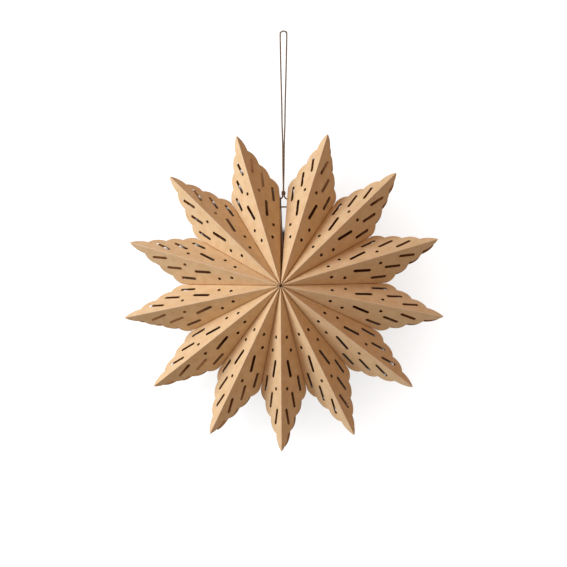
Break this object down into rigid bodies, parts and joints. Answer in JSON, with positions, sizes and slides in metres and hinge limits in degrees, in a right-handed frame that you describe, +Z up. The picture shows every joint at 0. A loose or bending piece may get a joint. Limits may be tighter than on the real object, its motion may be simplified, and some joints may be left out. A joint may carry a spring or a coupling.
{
  "type": "paper star",
  "caption": "Hanging paper star made of opened, die-cut kraft paper bags glued in a ring, with slots, dots and scalloped points, on a thin knotted cord.",
  "frame": {"origin": "inside the top of the cord's loop, where a hook carries the star", "axes": "+Z up, X across the star, and -Y the way its front looks"},
  "size_m": [0.2934, 0.0688, 0.4007],
  "materials": {
    "kraft_paper": "matte",
    "cord": "matte"
  },
  "bodies": {
    "root": {"paper_bag_01": "kraft_paper", "paper_bag_02": "kraft_paper", "paper_bag_03": "kraft_paper", "paper_bag_04": "kraft_paper", "paper_bag_05": "kraft_paper", "paper_bag_06": "kraft_paper", "paper_bag_07": "kraft_paper", "paper_bag_08": "kraft_paper", "paper_bag_09": "kraft_paper", "paper_bag_10": "kraft_paper", "paper_bag_11": "kraft_paper", "paper_bag_12": "kraft_paper", "paper_bag_13": "kraft_paper", "hanging_loop": "cord", "cord_knot": "cord", "cord_stitch": "cord"}
  },
  "joints": []
}
